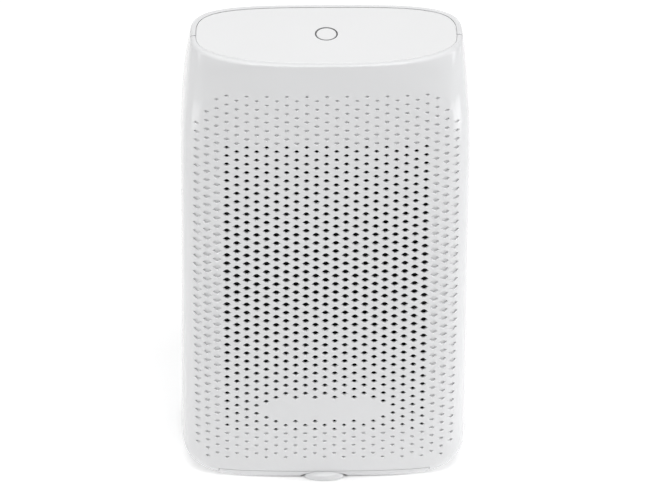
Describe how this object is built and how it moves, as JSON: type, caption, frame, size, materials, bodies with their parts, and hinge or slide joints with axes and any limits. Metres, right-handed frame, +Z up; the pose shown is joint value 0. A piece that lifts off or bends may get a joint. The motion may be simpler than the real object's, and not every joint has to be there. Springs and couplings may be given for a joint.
{
  "type": "dehumidifier",
  "caption": "Compact thermoelectric dehumidifier: tall rounded box with a diamond-perforated front, a flat top with one round button, and a tank that pulls out at the back.",
  "frame": {"origin": "on the floor, under the middle of the overall box", "axes": "+Z up, front grille faces -Y, +X to the right seen from the front"},
  "size_m": [0.205, 0.145, 0.365],
  "materials": {
    "white_gloss": "smooth gloss white ABS moulding",
    "white_satin": "satin white ABS plate",
    "dark_ring": "dark grey translucent light guide",
    "black_mesh": "black woven nylon filter mesh",
    "black_plastic": "black moulded plastic",
    "smoke_clear": "clear smoke grey SAN",
    "grey_plastic": "light grey moulded plastic",
    "aluminium_fin": "mill finish extruded fins",
    "ceramic": "white ceramic plates",
    "foam": "closed cell foam",
    "steel": "zinc plated steel",
    "pcb": "green solder mask",
    "component": "capacitors and connectors",
    "rubber": "soft black rubber",
    "silicone": "grey silicone",
    "led": "clear diffused lens",
    "magnet": "nickel plated magnet"
  },
  "bodies": {
    "housing": {"rear_housing": "white_gloss", "top_plate": "white_satin", "button_ring": "dark_ring", "base_plate": "white_gloss", "rubber_feet": "rubber", "control_board": "pcb", "tact_switch": "component", "status_led": "led", "chassis": "black_plastic", "insulation_gasket": "foam", "peltier_module": "ceramic", "cold_heatsink": "aluminium_fin", "hot_heatsink": "aluminium_fin", "clamp_screws": "steel", "fan_frame": "black_plastic", "fan_stator": "component", "fan_screws": "steel", "main_board": "pcb", "board_components": "component", "dc_inlet": "black_plastic", "housing_screws": "steel", "drip_funnel": "grey_plastic", "level_sensor": "black_plastic"},
    "cover": {"front_cover": "white_gloss", "front_grille": "white_gloss", "air_filter": "black_mesh", "filter_frame": "black_plastic"},
    "button": {"power_button": "white_satin"},
    "rotor": {"fan_rotor": "black_plastic", "fan_shaft": "steel"},
    "tank": {"water_tank": "smoke_clear", "tank_lid": "grey_plastic", "tank_plug": "silicone", "float_pin": "steel"},
    "float": {"float_arm": "grey_plastic", "float_magnet": "magnet"}
  },
  "joints": [
    {"name": "button_press", "type": "slide", "parent": "housing", "child": "button", "axis": [0, 0, -1], "range_m": [0, 0.0008], "stiffness_N_per_m": 1500, "springref_m": -0.0002},
    {"name": "fan_spin", "type": "hinge", "parent": "housing", "child": "rotor", "pos_m": [0, 0.028, 0.215], "axis": [0, 1, 0], "continuous": true},
    {"name": "tank_slide", "type": "slide", "parent": "housing", "child": "tank", "axis": [0, 1, 0], "range_m": [0, 0.13]},
    {"name": "float_swing", "type": "hinge", "parent": "tank", "child": "float", "pos_m": [-0.056, 0.04, 0.064], "axis": [-1, 0, 0], "range_deg": [0, 22]},
    {"name": "cover_pull", "type": "slide", "parent": "housing", "child": "cover", "axis": [0, -1, 0], "range_m": [0, 0.06]}
  ]
}
